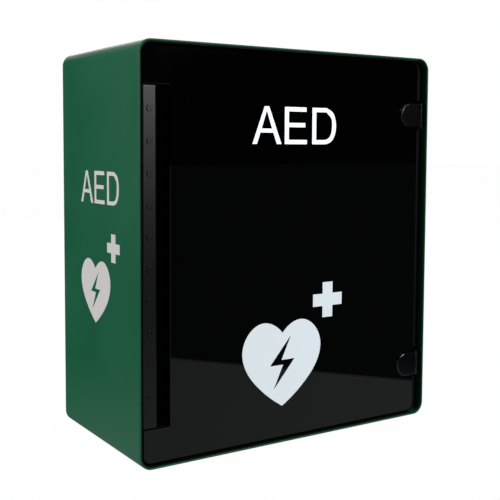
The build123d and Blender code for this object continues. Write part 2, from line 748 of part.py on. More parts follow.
def build():
    """Write every node."""
    os.makedirs("parts", exist_ok=True)
    save(casing(), "casing")
    save(back_panel(), "back_panel")
    save(inner_frame(), "inner_frame")
    save(frame_gasket(), "frame_gasket")
    save(grip_bar(), "grip_bar")
    save(grip_bar_screws(), "grip_bar_screws")
    save(finger_pocket(), "finger_pocket")
    save(Compound([hinge_bracket(z) for z in HINGE_Z]), "hinge_brackets")
    save(hinge_pins(), "hinge_pins")
    save(catch_housings(), "catch_housings")
    save(catch_magnets(), "catch_magnets")
    save(reed_sensor(), "reed_sensor")
    sensor_path = [(104, -73, 396), (105, -58, 389), (106, ALARM_Y[0], 384)]
    save(lead(sensor_path, (0, 1, 0), (0, 1, 0), 1.2), "sensor_lead")
    light_path = [(30, -58, 415), (35, -42, 413), (ALARM_X[0], -26, 411)]
    save(lead(light_path, (1, 0, 0), (1, 0, 0), 1.2), "light_lead")
    save(shelf(), "shelf")
    save(shelf_screws(), "shelf_screws")
    save(led_housing(), "light_channel")
    save(led_diffuser(), "light_diffuser")
    save(alarm_case(), "alarm_case")
    save(alarm_siren(), "alarm_siren")
    save(alarm_lock(), "alarm_lock")
    save(rod_y(ALARM_LED_AT[0], ALARM_LED_AT[1], 2.5, ALARM_Y[0] - 1.5, ALARM_Y[0] + 6), "alarm_lamp")
    save(alarm_button(), "alarm_button")
    save(alarm_key(), "alarm_key")

    save(pane(), "door_pane")
    save(door_strikes(), "door_strikes")
    save(sensor_magnet(), "sensor_magnet")
    save(hinge_clamps(), "hinge_clamps")
    save(hinge_screws(), "hinge_screws")
    save(hinge_pads(), "hinge_pads")
    save(door_sign(word(EM), 187.6, 342.2), "door_letters")
    save(door_sign(heart_outline() - bolt_outline(), 172.7, 87.3), "door_heart")
    save(door_sign(cross_outline(), 233.7, 150.6), "door_cross")
    save(Compound([side_word(-1), side_word(1)]), "side_letters")
    save(Compound([side_heart(-1), side_heart(1)]), "side_hearts")
    save(Compound([side_cross(-1), side_cross(1)]), "side_crosses")

    save(unit_rear_shell(), "unit_rear_shell")
    save(unit_front_shell(), "unit_front_shell")
    save(unit_bumper(), "unit_bumper")
    save(unit_handle(), "unit_handle")
    save(unit_feet(), "unit_feet")
    save(unit_panel(), "unit_panel")
    save(unit_bezels(), "unit_bezels")
    save(rod_y(66, 66, 5, PANEL_FRONT - 0.6, UNIT_FRONT), "unit_status_lens")
    save(unit_button(POWER_AT, POWER_R), "unit_power_button")
    save(unit_button(SHOCK_AT, SHOCK_R), "unit_shock_button")
    save(unit_button(INFO_AT, INFO_R), "unit_info_button")
    face = PANEL_FRONT - BUTTON_PROUD
    save(button_ring_symbol(POWER_AT, 6, face), "unit_power_sign")
    save(front_plate(Pos(*SHOCK_AT) * scale(bolt_outline(), by=0.38), face - 0.2, face), "unit_shock_sign")
    save(front_plate(Pos(*INFO_AT) * info_outline(), face - 0.2, face), "unit_info_sign")
    save(unit_cartridge(), "unit_cartridge")
    sign = scale(heart_outline() - bolt_outline(), by=0.3)
    save(front_plate(Pos(0, CART_Z + 12) * sign, PANEL_FRONT - 4.2, PANEL_FRONT - 4), "unit_cartridge_sign")
    save(unit_battery(), "unit_battery")


build()
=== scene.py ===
"""Finishes and small fittings for an AED wall cabinet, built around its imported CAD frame."""
import math

import bmesh
import bpy
from bpy.props import FloatProperty, FloatVectorProperty, PointerProperty, StringProperty
from mathutils import Matrix, Vector


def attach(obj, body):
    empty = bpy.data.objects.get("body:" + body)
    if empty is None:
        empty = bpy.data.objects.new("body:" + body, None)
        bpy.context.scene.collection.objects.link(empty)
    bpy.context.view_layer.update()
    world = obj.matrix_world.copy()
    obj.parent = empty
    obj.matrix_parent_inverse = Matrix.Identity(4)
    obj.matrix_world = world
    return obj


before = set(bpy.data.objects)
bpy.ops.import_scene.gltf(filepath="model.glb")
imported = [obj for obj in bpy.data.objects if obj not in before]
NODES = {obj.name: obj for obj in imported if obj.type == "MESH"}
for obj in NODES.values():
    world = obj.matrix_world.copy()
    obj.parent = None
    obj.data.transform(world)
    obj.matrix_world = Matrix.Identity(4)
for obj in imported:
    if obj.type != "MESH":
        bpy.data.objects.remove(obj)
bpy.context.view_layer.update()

bl_info = {
    "name": "AED Wall Cabinet",
    "version": (1, 0, 0),
    "blender": (4, 5, 0),
    "location": "View3D > Sidebar > Cabinet",
    "description": "Finishes and fittings of a wall cabinet with a defibrillator unit",
    "category": "Object",
}

# Faces that the fittings stand on, and how far apart their rows are, in metres.
FRAME_FACE_Y = -0.08645
FRAME_MIDDLE_Z = 0.2115
RIVET_ROWS_APART = 0.4090
SHELF_TOP_Z = 0.02995
STUD_ROWS_APART = 0.106
HANDLE_TOP_Z = 0.29195
UNIT_MIDDLE_Y = 0.023

# Nearly all of a noise's values lie between these two.
NOISE_LOW = 0.3
NOISE_HIGH = 0.7

# The floor sheet as mirror rays see it: pale up to a slanting line, and fading behind the object.
SHEET_SLANT_X = 0.79
SHEET_SLANT_Y = -0.613
SHEET_EDGE = (0.34, 0.355)
SHEET_MIRRORED = (0.3, 0.03)
BEHIND_EDGE = (0.0, 0.3)
BEHIND_MIRRORED = (1.0, 0.08)
FLOOR_REACH = 12.0

# Soft boxes: name, place, the point each faces, width, height, watts.
SOFT_BOXES = (
    ("left_box", (-2.0, 0.5, 0.8), (-0.19, 0.05, 0.2), 1.5, 1.5, 21),
    ("front_strip_box", (0.73, -1.85, 0.87), (-0.17, -0.09, 0.35), 0.5, 0.36, 11.5),
    ("top_box", (0.1, 1.6, 1.5), (0.0, 0.1, 0.42), 1.2, 1.2, 4),
    ("right_box", (2.3, 0.7, 1.0), (0.19, 0.05, 0.2), 1.4, 1.4, 26),
    ("rear_box", (1.0, 2.4, 1.1), (0.05, 0.1, 0.2), 1.3, 1.3, 22),
    ("hinge_glint_lamp", (1.0, -1.85, 1.5), (0.17, -0.09, 0.2), 0.16, 0.16, 4),
)


# ---- settings ----

class CabinetSettings(bpy.types.PropertyGroup):
    """Sizes and colours of the cabinet."""

    casing_hex: StringProperty(
        name="Casing colour", description="Powder coat, sRGB hex", default="#1A7B55")
    black_hex: StringProperty(
        name="Black coat", description="Black powder coat, sRGB hex", default="#090A0A")
    pane_hex: StringProperty(
        name="Pane", description="Smoked acrylic, sRGB hex", default="#020203")
    sign_hex: StringProperty(
        name="Signs", description="Letters on the pane, sRGB hex", default="#F2F5F7")
    # White vinyl, given a darker colour than the letters as painted shade of a light falling off
    # down the pane.
    symbol_hex_with_painted_shade: StringProperty(
        name="Symbols", description="Heart and cross on the pane, sRGB hex", default="#DCE6EC")
    side_sign_hex: StringProperty(
        name="Side signs", description="Vinyl on the sides, sRGB hex", default="#EDEBE6")
    hinge_hex: StringProperty(
        name="Hinges", description="Black nickel, sRGB hex", default="#47474A")
    peel_size: FloatProperty(
        name="Orange peel", description="Spacing of the coat's ripples",
        default=0.0016, unit="LENGTH")
    grain_size: FloatProperty(
        name="Black grain", description="Spacing of the black coat's grain",
        default=0.0009, unit="LENGTH")


class UnitSettings(bpy.types.PropertyGroup):
    """Sizes and colours of the defibrillator unit."""

    shell_hex: StringProperty(
        name="Shell", description="Moulded shell, sRGB hex", default="#D9DDDD")
    fascia_hex: StringProperty(
        name="Fascia", description="Textured fascia, sRGB hex", default="#23272B")
    rubber_hex: StringProperty(
        name="Rubber", description="Band and handle, sRGB hex", default="#1C2022")
    spark_size: FloatProperty(
        name="Mould texture", description="Spacing of the spark-eroded texture",
        default=0.0008, unit="LENGTH")


class FittingSettings(bpy.types.PropertyGroup):
    """Rivets, studs and ribs, which stand in rows."""

    rivet_pitch: FloatProperty(
        name="Rivet pitch", description="Distance between rivets", default=0.05, unit="LENGTH")
    rivet_radius: FloatProperty(
        name="Rivet radius", description="Radius of a rivet head", default=0.0026, unit="LENGTH")
    rivet_height: FloatProperty(
        name="Rivet height", description="Height of a rivet head", default=0.0009, unit="LENGTH")
    rivet_dimple: FloatProperty(
        name="Rivet dimple", description="Depth left by the pulled stem", default=0.0004,
        unit="LENGTH")
    stud_pitch: FloatProperty(
        name="Stud pitch", description="Distance between shelf studs", default=0.026,
        unit="LENGTH")
    stud_radius: FloatProperty(
        name="Stud radius", description="Radius of a shelf stud", default=0.0035, unit="LENGTH")
    stud_height: FloatProperty(
        name="Stud height", description="Height of a shelf stud", default=0.0014, unit="LENGTH")
    stud_dimple: FloatProperty(
        name="Stud dimple", description="Depth of the moulding mark", default=0.0003,
        unit="LENGTH")
    rib_pitch: FloatProperty(
        name="Rib pitch", description="Distance between grip ribs", default=0.005, unit="LENGTH")
    rib_length: FloatProperty(
        name="Rib length", description="Straight part of a grip rib", default=0.012,
        unit="LENGTH")
    rib_radius: FloatProperty(
        name="Rib radius", description="Half the width of a grip rib", default=0.0012,
        unit="LENGTH")
    rib_height: FloatProperty(
        name="Rib height", description="Height of a grip rib", default=0.0009, unit="LENGTH")


class StageSettings(bpy.types.PropertyGroup):
    """Camera place, turn and lens for the stage."""

    camera_at: FloatVectorProperty(
        name="Camera", description="Camera position", subtype="TRANSLATION", unit="LENGTH",
        size=3, default=(-0.57029, -0.86458, 0.32051))
    yaw: FloatProperty(
        name="Yaw", description="Turn to the right of straight ahead", subtype="ANGLE",
        default=math.radians(32.4674))
    pitch: FloatProperty(
        name="Pitch", description="Tilt downwards", subtype="ANGLE", default=math.radians(4.0266))
    roll: FloatProperty(
        name="Roll", description="Turn about the view", subtype="ANGLE",
        default=math.radians(0.2346))
    lens: FloatProperty(name="Lens", description="Focal length in millimetres", default=64.09)
    shift_x: FloatProperty(name="Shift X", description="Lens shift", default=0.03186)
    shift_y: FloatProperty(name="Shift Y", description="Lens shift", default=-0.08318)


# ---- small helpers ----

def linear(hex_colour):
    """sRGB hex to linear RGBA."""
    parts = [int(hex_colour[i:i + 2], 16) / 255 for i in (1, 3, 5)]
    rgb = [c / 12.92 if c <= 0.04045 else ((c + 0.055) / 1.055) ** 2.4 for c in parts]
    return (*rgb, 1.0)


def add_node(tree, kind, inputs=None, **attributes):
    """Add a node, set its attributes, and set or link its inputs by name or number."""
    node = tree.nodes.new(kind)
    for key, value in attributes.items():
        setattr(node, key, value)
    for key, value in (inputs or {}).items():
        if isinstance(value, bpy.types.NodeSocket):
            tree.links.new(value, node.inputs[key])
        else:
            node.inputs[key].default_value = value
    return node


def new_material(name):
    """Empty node material with its Principled shader and the Object coordinates."""
    material = bpy.data.materials.new(name)
    material.use_nodes = True
    tree = material.node_tree
    tree.nodes.clear()
    shader = add_node(tree, "ShaderNodeBsdfPrincipled")
    add_node(tree, "ShaderNodeOutputMaterial", {"Surface": shader.outputs["BSDF"]})
    place = add_node(tree, "ShaderNodeTexCoord")
    return material, tree, shader, place


def give(names, material):
    """Put one material on these CAD nodes."""
    for name in names:
        for place in NODES[name].material_slots:
            place.material = material


# ---- rows of studs ----

def stud_rows_tree():
    """Geometry Nodes tree: rows of low studs, round or drawn out, with dimpled crowns."""
    tree = bpy.data.node_groups.new("stud_rows", "GeometryNodeTree")
    face = tree.interface
    for label, kind in (
            ("Count", "Int"), ("Rows", "Int"), ("Pitch", "Float"), ("Row Pitch", "Float"),
            ("Radius", "Float"), ("Height", "Float"), ("Length", "Float"), ("Dimple", "Float"),
            ("Turn", "Rotation"), ("Place", "Vector"), ("Material", "Material")):
        face.new_socket(label, in_out="INPUT", socket_type="NodeSocket" + kind)
    face.new_socket("Studs", in_out="OUTPUT", socket_type="NodeSocketGeometry")
    given = add_node(tree, "NodeGroupInput").outputs

    ball = add_node(tree, "GeometryNodeMeshUVSphere", {
        "Segments": 24, "Rings": 24, "Radius": 1.0})
    place = add_node(tree, "GeometryNodeInputPosition").outputs[0]
    x, y, z = add_node(tree, "ShaderNodeSeparateXYZ", {0: place}).outputs[:3]
    low = add_node(tree, "FunctionNodeCompare", {"A": z, "B": -0.01}, operation="LESS_THAN")
    crown = add_node(tree, "GeometryNodeDeleteGeometry", {
        "Geometry": ball.outputs["Mesh"], "Selection": low.outputs["Result"]})
    square_x = add_node(tree, "ShaderNodeMath", {0: x, 1: x}, operation="MULTIPLY")
    square_y = add_node(tree, "ShaderNodeMath", {0: y, 1: y}, operation="MULTIPLY")
    square = add_node(tree, "ShaderNodeMath", {0: square_x.outputs[0], 1: square_y.outputs[0]},
                      operation="ADD")
    out = add_node(tree, "ShaderNodeMath", {0: square.outputs[0]}, operation="SQRT")
    dip = add_node(tree, "ShaderNodeMapRange", {
        "Value": out.outputs[0], "From Min": 0.22, "From Max": 0.42,
        "To Min": given["Dimple"], "To Max": 0.0}, interpolation_type="SMOOTHSTEP")
    side = add_node(tree, "ShaderNodeMath", {0: y}, operation="SIGN")
    half = add_node(tree, "ShaderNodeMath", {0: given["Length"], 1: 0.5}, operation="MULTIPLY")
    drawn = add_node(tree, "ShaderNodeMath", {0: side.outputs[0], 1: half.outputs[0]},
                     operation="MULTIPLY")
    across = add_node(tree, "ShaderNodeMath", {0: x, 1: given["Radius"]}, operation="MULTIPLY")
    round_end = add_node(tree, "ShaderNodeMath", {0: y, 1: given["Radius"]},
                         operation="MULTIPLY")
    along = add_node(tree, "ShaderNodeMath", {0: round_end.outputs[0], 1: drawn.outputs[0]},
                     operation="ADD")
    dome = add_node(tree, "ShaderNodeMath", {0: z, 1: given["Height"]}, operation="MULTIPLY")
    dimpled = add_node(tree, "ShaderNodeMath", {0: dome.outputs[0], 1: dip.outputs["Result"]},
                       operation="SUBTRACT")
    shaped = add_node(tree, "ShaderNodeCombineXYZ", {
        "X": across.outputs[0], "Y": along.outputs[0], "Z": dimpled.outputs[0]})
    stud = add_node(tree, "GeometryNodeSetPosition", {
        "Geometry": crown.outputs[0], "Position": shaped.outputs[0]})
    gaps = add_node(tree, "ShaderNodeMath", {0: given["Count"], 1: 1.0}, operation="SUBTRACT")
    wide = add_node(tree, "ShaderNodeMath", {0: given["Pitch"], 1: gaps.outputs[0]},
                    operation="MULTIPLY")
    row_gaps = add_node(tree, "ShaderNodeMath", {0: given["Rows"], 1: 1.0},
                        operation="SUBTRACT")
    deep = add_node(tree, "ShaderNodeMath", {0: given["Row Pitch"], 1: row_gaps.outputs[0]},
                    operation="MULTIPLY")
    rows = add_node(tree, "GeometryNodeMeshGrid", {
        "Size X": wide.outputs[0], "Size Y": deep.outputs[0],
        "Vertices X": given["Count"], "Vertices Y": given["Rows"]})
    studs = add_node(tree, "GeometryNodeInstanceOnPoints", {
        "Points": rows.outputs["Mesh"], "Instance": stud.outputs[0]})
    placed = add_node(tree, "GeometryNodeTransform", {
        "Geometry": studs.outputs[0], "Translation": given["Place"], "Rotation": given["Turn"]})
    smooth = add_node(tree, "GeometryNodeSetShadeSmooth", {"Geometry": placed.outputs[0]})
    solid = add_node(tree, "GeometryNodeRealizeInstances", {"Geometry": smooth.outputs[0]})
    painted = add_node(tree, "GeometryNodeSetMaterial", {
        "Geometry": solid.outputs[0], "Material": given["Material"]})
    add_node(tree, "NodeGroupOutput", {"Studs": painted.outputs[0]})
    return tree


def rows_of_studs(name, body, material, values):
    """Run the stud tree with these inputs; keep the result as a plain mesh on a body."""
    tree = bpy.data.node_groups.get("stud_rows") or stud_rows_tree()
    seed = bpy.data.objects.new(name + "_seed", bpy.data.meshes.new(name + "_seed"))
    bpy.context.scene.collection.objects.link(seed)
    modifier = seed.modifiers.new("rows", "NODES")
    modifier.node_group = tree
    for item in tree.interface.items_tree:
        if item.in_out == "INPUT":
            value = material if item.name == "Material" else values[item.name]
            modifier[item.identifier] = value
    graph = bpy.context.evaluated_depsgraph_get()
    mesh = bpy.data.meshes.new_from_object(seed.evaluated_get(graph), depsgraph=graph)
    bpy.data.objects.remove(seed)
    shape = bmesh.new()
    shape.from_mesh(mesh)
    bmesh.ops.remove_doubles(shape, verts=shape.verts, dist=1e-6)
    bmesh.ops.recalc_face_normals(shape, faces=shape.faces)
    shape.to_mesh(mesh)
    shape.free()
    if len(mesh.polygons) == 0:
        raise RuntimeError(f"{name} came out empty")
    mesh.materials.clear()
    mesh.materials.append(material)
    mesh.polygons.foreach_set("material_index", [0] * len(mesh.polygons))
    mesh.name = name
    piece = bpy.data.objects.new(name, mesh)
    bpy.context.scene.collection.objects.link(piece)
    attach(piece, body)


# ---- materials ----

def surface_material(name, hex_colour, settings, swing, patch, rough, relief=None):
    """Material whose colour and roughness drift together in patches, over a fine relief.

    settings are the shader's own values. swing is how far the colour drifts, patch the size
    in metres and the detail of the patches, rough the lowest and highest roughness, and
    relief the size, detail, strength and depth of the bump.
    """
    material, tree, shader, place = new_material(name)
    for key, value in settings.items():
        shader.inputs[key].default_value = value
    patches = add_node(tree, "ShaderNodeTexNoise", {
        "Vector": place.outputs["Object"], "Scale": 1 / patch[0], "Detail": patch[1]})
    ramp = add_node(tree, "ShaderNodeValToRGB", {"Fac": patches.outputs["Fac"]})
    for stop, position, gain in zip(
            ramp.color_ramp.elements, (NOISE_LOW, NOISE_HIGH), (1 - swing, 1 + swing)):
        stop.position = position
        stop.color = [min(1.0, c * gain) for c in linear(hex_colour)[:3]] + [1]
    worn = add_node(tree, "ShaderNodeMapRange", {
        "Value": patches.outputs["Fac"], "From Min": NOISE_LOW, "From Max": NOISE_HIGH,
        "To Min": rough[0], "To Max": rough[1]})
    tree.links.new(ramp.outputs["Color"], shader.inputs["Base Color"])
    tree.links.new(worn.outputs["Result"], shader.inputs["Roughness"])
    if relief:
        size, detail, strength, depth = relief
        fine = add_node(tree, "ShaderNodeTexNoise", {
            "Vector": place.outputs["Object"], "Scale": 1 / size, "Detail": detail})
        bump = add_node(tree, "ShaderNodeBump", {
            "Height": fine.outputs["Fac"], "Strength": strength, "Distance": depth})
        tree.links.new(bump.outputs["Normal"], shader.inputs["Normal"])
    return material


def coat_material(name, hex_colour, ripple, depth, rough, wobble, swing, gloss=0.5):
    """Powder coat, sprayed and baked: thick and satin, its highlights broken by orange peel.

    The black coat's grain is drawn coarser than a real one, so that it shows.
    """
    return surface_material(
        name, hex_colour, {"IOR": 1.5, "Specular IOR Level": gloss}, swing, (0.11, 2.0),
        (rough - wobble, rough + wobble), (ripple, 3.0, 0.35, depth))


def acrylic_material(name, hex_colour):
    """Smoked cast acrylic: black in depth, mirror-smooth on its faces, frosted where cut."""
    material, tree, shader, place = new_material(name)
    smear = add_node(tree, "ShaderNodeTexNoise", {
        "Vector": place.outputs["Object"], "Scale": 1 / 0.045, "Detail": 4.0, "Roughness": 0.6})
    specks = add_node(tree, "ShaderNodeTexNoise", {
        "Vector": place.outputs["Object"], "Scale": 1 / 0.0012, "Detail": 1.0})
    split = add_node(tree, "ShaderNodeSeparateXYZ", {0: place.outputs["Normal"]})
    facing = add_node(tree, "ShaderNodeMath", {0: split.outputs["Y"]}, operation="ABSOLUTE")
    edge = add_node(tree, "ShaderNodeMapRange", {
        "Value": facing.outputs[0], "From Min": 0.3, "From Max": 0.6,
        "To Min": 1.0, "To Max": 0.0})
    base = add_node(tree, "ShaderNodeMix", {
        0: edge.outputs["Result"], 6: linear(hex_colour), 7: linear("#1B1E1F")},
        data_type="RGBA")
    wiped = add_node(tree, "ShaderNodeMapRange", {
        "Value": smear.outputs["Fac"], "From Min": NOISE_LOW, "From Max": NOISE_HIGH,
        "To Min": 0.015, "To Max": 0.05})
    rough = add_node(tree, "ShaderNodeMix", {
        0: edge.outputs["Result"], 2: wiped.outputs["Result"], 3: 0.28})
    bump = add_node(tree, "ShaderNodeBump", {
        "Height": specks.outputs["Fac"], "Strength": 0.02, "Distance": 0.00002})
    shader.inputs["IOR"].default_value = 1.49
    tree.links.new(base.outputs[2], shader.inputs["Base Color"])
    tree.links.new(rough.outputs[0], shader.inputs["Roughness"])
    tree.links.new(bump.outputs["Normal"], shader.inputs["Normal"])
    return material


def vinyl_material(name, hex_colour, glow):
    """Knife-cut reflective vinyl: flat and even, with a soft plastic sheen.

    The glow is painted light: an emission that makes the film bright without a lamp in front of
    it.
    """
    return surface_material(
        name, hex_colour,
        {"IOR": 1.46, "Emission Color": linear(hex_colour), "Emission Strength": glow},
        0.015, (0.03, 2.0), (0.38, 0.5), (0.004, 2.0, 0.1, 0.00003))


def moulded_material(name, hex_colour, texture, depth, rough):
    """Moulded plastic or rubber: even colour, dulled by its mould's spark-eroded texture.

    The texture is drawn coarser than a real one, so that it shows.
    """
    return surface_material(
        name, hex_colour, {"IOR": 1.53}, 0.03, (0.04, 2.0), (rough - 0.05, rough + 0.05),
        (texture, 2.0, 0.4, depth))


def metal_material(name, hex_colour, rough, mark):
    """Plated or bare metal: coloured reflections, clouded by fine handling marks."""
    return surface_material(
        name, hex_colour, {"Metallic": 1.0}, 0.06, (mark, 3.0), (rough - 0.06, rough + 0.08))


def lit_material(name, hex_colour, glow):
    """Polished acrylic lens or diffuser: even in colour and lit from inside."""
    return surface_material(
        name, hex_colour,
        {"IOR": 1.49, "Emission Color": linear(hex_colour), "Emission Strength": glow},
        0.02, (0.02, 2.0), (0.25, 0.35))


# ---- operators: cabinet ----

class CABINET_OT_casing(bpy.types.Operator):
    """Powder-coated sleeve and back"""

    bl_idname = "cabinet.casing"
    bl_label = "Casing"

    def execute(self, context):
        looks = context.scene.cabinet_looks
        coat = coat_material("powder_coated_steel_green", looks.casing_hex, looks.peel_size,
                             depth=0.00006, rough=0.42, wobble=0.05, swing=0.05)
        give(["casing", "back_panel"], coat)
        return {"FINISHED"}


class CABINET_OT_frame(bpy.types.Operator):
    """Black inner frame, grip bar, pocket and shelf"""

    bl_idname = "cabinet.frame"
    bl_label = "Inner frame"

    def execute(self, context):
        looks = context.scene.cabinet_looks
        coat = coat_material("powder_coated_steel_black", looks.black_hex, looks.grain_size,
                             depth=0.00005, rough=0.34, wobble=0.04, swing=0.08)
        give(["grip_bar", "grip_bar_screws", "shelf"], coat)
        matt = coat_material("matt_powder_coated_steel_black", looks.black_hex,
                             looks.grain_size, depth=0.00006, rough=0.62, wobble=0.05,
                             swing=0.08, gloss=0.2)
        give(["inner_frame", "finger_pocket"], matt)
        give(["hinge_screws"], metal_material("black_oxide_steel", "#1B1B1D", 0.42, 0.0006))
        foam = moulded_material("closed_cell_foam", "#101011", 0.0012, 0.0002, 0.85)
        give(["frame_gasket", "hinge_pads"], foam)
        return {"FINISHED"}


class CABINET_OT_door(bpy.types.Operator):
    """Smoked pane with its strikes and magnet"""

    bl_idname = "cabinet.door"
    bl_label = "Door"

    def execute(self, context):
        looks = context.scene.cabinet_looks
        give(["door_pane"], acrylic_material("smoked_acrylic_sheet", looks.pane_hex))
        zinc = metal_material("zinc_plated_steel", "#B9BDC2", 0.34, 0.001)
        give(["door_strikes", "catch_magnets", "shelf_screws", "hinge_pins", "alarm_lock"],
             zinc)
        return {"FINISHED"}


class CABINET_OT_hinges(bpy.types.Operator):
    """Black nickel glass hinges"""

    bl_idname = "cabinet.hinges"
    bl_label = "Hinges"

    def execute(self, context):
        plating = metal_material("black_nickel_plated_zinc",
                                 context.scene.cabinet_looks.hinge_hex, 0.2, 0.0006)
        give(["hinge_clamps", "hinge_brackets"], plating)
        return {"FINISHED"}


class CABINET_OT_signs(bpy.types.Operator):
    """Vinyl letters, hearts and crosses"""

    bl_idname = "cabinet.signs"
    bl_label = "Signs"

    def execute(self, context):
        looks = context.scene.cabinet_looks
        # Each sign's glow is painted light. It is strongest on the letters and weaker on the heart
        # and cross lower on the pane, as painted shade of a light falling off downwards. It is
        # weakest on the sides.
        give(["door_letters"],
             vinyl_material("vinyl_letters_painted_glow", looks.sign_hex, glow=0.9))
        give(["door_heart", "door_cross"],
             vinyl_material("vinyl_symbols_painted_glow", looks.symbol_hex_with_painted_shade, glow=0.66))
        give(["side_letters", "side_hearts", "side_crosses"],
             vinyl_material("vinyl_sides_painted_glow", looks.side_sign_hex, glow=0.22))
        return {"FINISHED"}


class CABINET_OT_alarm(bpy.types.Operator):
    """Alarm, sensor, catches and light bar"""

    bl_idname = "cabinet.alarm"
    bl_label = "Alarm and light"

    def execute(self, context):
        black = moulded_material("moulded_abs_black", "#17181A", 0.0009, 0.00006, 0.5)
        give(["alarm_case", "alarm_siren", "reed_sensor", "sensor_magnet", "catch_housings"],
             black)
        give(["sensor_lead", "light_lead"],
             moulded_material("pvc_sheath_black", "#0E0E0F", 0.002, 0.00003, 0.45))
        give(["light_channel"], metal_material("anodised_aluminium", "#C4C6C8", 0.32, 0.0007))
        give(["light_diffuser"], lit_material("opal_acrylic_lit", "#FFFFFF", glow=6.0))
        give(["alarm_lamp"], lit_material("red_lens", "#B01010", glow=0.6))
        give(["alarm_button"],
             moulded_material("moulded_abs_red", "#B3160F", 0.0012, 0.00002, 0.3))
        give(["alarm_key"], metal_material("nickel_silver", "#C9BC9A", 0.28, 0.0006))
        return {"FINISHED"}


class CABINET_OT_unit(bpy.types.Operator):
    """Defibrillator unit"""

    bl_idname = "cabinet.unit"
    bl_label = "Defibrillator unit"

    def execute(self, context):
        looks = context.scene.unit_looks
        shell = moulded_material("moulded_pc_abs_pale", looks.shell_hex, looks.spark_size,
                                 0.00004, 0.42)
        give(["unit_front_shell", "unit_rear_shell", "unit_bezels"], shell)
        rubber = moulded_material("overmoulded_tpe", looks.rubber_hex, 0.0011, 0.0001, 0.68)
        give(["unit_bumper", "unit_handle", "unit_feet"], rubber)
        fascia = moulded_material("textured_fascia", looks.fascia_hex, 0.0007, 0.00008, 0.55)
        give(["unit_panel", "unit_battery"], fascia)
        for button, name, hex_colour in (
                ("unit_power_button", "gloss_abs_green", "#0E8A3B"),
                ("unit_shock_button", "gloss_abs_orange", "#EE5A0B"),
                ("unit_info_button", "gloss_abs_blue", "#1450B8")):
            give([button], moulded_material(name, hex_colour, 0.003, 0.00001, 0.22))
        give(["unit_status_lens"], lit_material("green_lens", "#20C050", glow=1.0))
        give(["unit_power_sign", "unit_shock_sign", "unit_info_sign", "unit_cartridge_sign"],
             vinyl_material("printed_white", "#F4F4F2", glow=0.0))
        give(["unit_cartridge"],
             moulded_material("moulded_pp_yellow", "#E8B80F", 0.001, 0.00005, 0.45))
        return {"FINISHED"}


class CABINET_OT_rivets(bpy.types.Operator):
    """Blind rivets along the top and bottom of the inner frame"""

    bl_idname = "cabinet.rivets"
    bl_label = "Rivets"

    def execute(self, context):
        sizes = context.scene.fitting_looks
        steel = metal_material("black_zinc_rivet_steel", "#3A3C3E", 0.36, 0.0005)
        rows_of_studs("frame_rivets", "cabinet", steel, {
            "Count": 7, "Rows": 2, "Pitch": sizes.rivet_pitch, "Row Pitch": RIVET_ROWS_APART,
            "Radius": sizes.rivet_radius, "Height": sizes.rivet_height, "Length": 0.0,
            "Dimple": sizes.rivet_dimple, "Turn": (math.pi / 2, 0.0, 0.0),
            "Place": (0.0, FRAME_FACE_Y, FRAME_MIDDLE_Z)})
        return {"FINISHED"}


class CABINET_OT_studs(bpy.types.Operator):
    """Rubber studs on the shelf that keep the unit from sliding"""

    bl_idname = "cabinet.studs"
    bl_label = "Shelf studs"

    def execute(self, context):
        sizes = context.scene.fitting_looks
        rubber = moulded_material("nitrile_rubber_studs", "#1A1B1C", 0.0009, 0.00005, 0.7)
        rows_of_studs("shelf_studs", "cabinet", rubber, {
            "Count": 9, "Rows": 2, "Pitch": sizes.stud_pitch, "Row Pitch": STUD_ROWS_APART,
            "Radius": sizes.stud_radius, "Height": sizes.stud_height, "Length": 0.0,
            "Dimple": sizes.stud_dimple, "Turn": (0.0, 0.0, 0.0),
            "Place": (0.0, UNIT_MIDDLE_Y, SHELF_TOP_Z)})
        return {"FINISHED"}


class CABINET_OT_ribs(bpy.types.Operator):
    """Grip ribs across the top of the unit's handle"""

    bl_idname = "cabinet.ribs"
    bl_label = "Handle ribs"

    def execute(self, context):
        sizes = context.scene.fitting_looks
        rubber = moulded_material("ribbed_tpe", context.scene.unit_looks.rubber_hex,
                                  0.0011, 0.0001, 0.62)
        rows_of_studs("handle_ribs", "unit", rubber, {
            "Count": 17, "Rows": 1, "Pitch": sizes.rib_pitch, "Row Pitch": 0.0,
            "Radius": sizes.rib_radius, "Height": sizes.rib_height,
            "Length": sizes.rib_length, "Dimple": 0.0, "Turn": (0.0, 0.0, 0.0),
            "Place": (0.0, UNIT_MIDDLE_Y, HANDLE_TOP_Z)})
        return {"FINISHED"}


# ---- operators: stage ----

def soft_box(name, at, target, width, height, power):
    """White rectangular light that faces a point."""
    light = bpy.data.lights.new(name, "AREA")
    light.shape = "RECTANGLE"
    light.size = width
    light.size_y = height
    light.energy = power
    lamp = bpy.data.objects.new(name, light)
    bpy.context.scene.collection.objects.link(lamp)
    lamp.location = at
    lamp.rotation_euler = (Vector(target) - Vector(at)).to_track_quat("-Z", "Y").to_euler()


def plain_world():
    """World that is white to the camera, and dim to all that mirrors it or is lit by it."""
    world = bpy.data.worlds.new("plain_studio")
    bpy.context.scene.world = world
    world.use_nodes = True
    tree = world.node_tree
    tree.nodes.clear()
    seen = add_node(tree, "ShaderNodeBackground", {"Color": (1, 1, 1, 1), "Strength": 1.0})
    room = add_node(tree, "ShaderNodeBackground", {"Color": (0.95, 0.98, 1, 1), "Strength": 0.008})
    path = add_node(tree, "ShaderNodeLightPath")
    mix = add_node(tree, "ShaderNodeMixShader", {
        0: path.outputs["Is Camera Ray"], 1: room.outputs[0], 2: seen.outputs[0]})
    add_node(tree, "ShaderNodeOutputWorld", {"Surface": mix.outputs[0]})


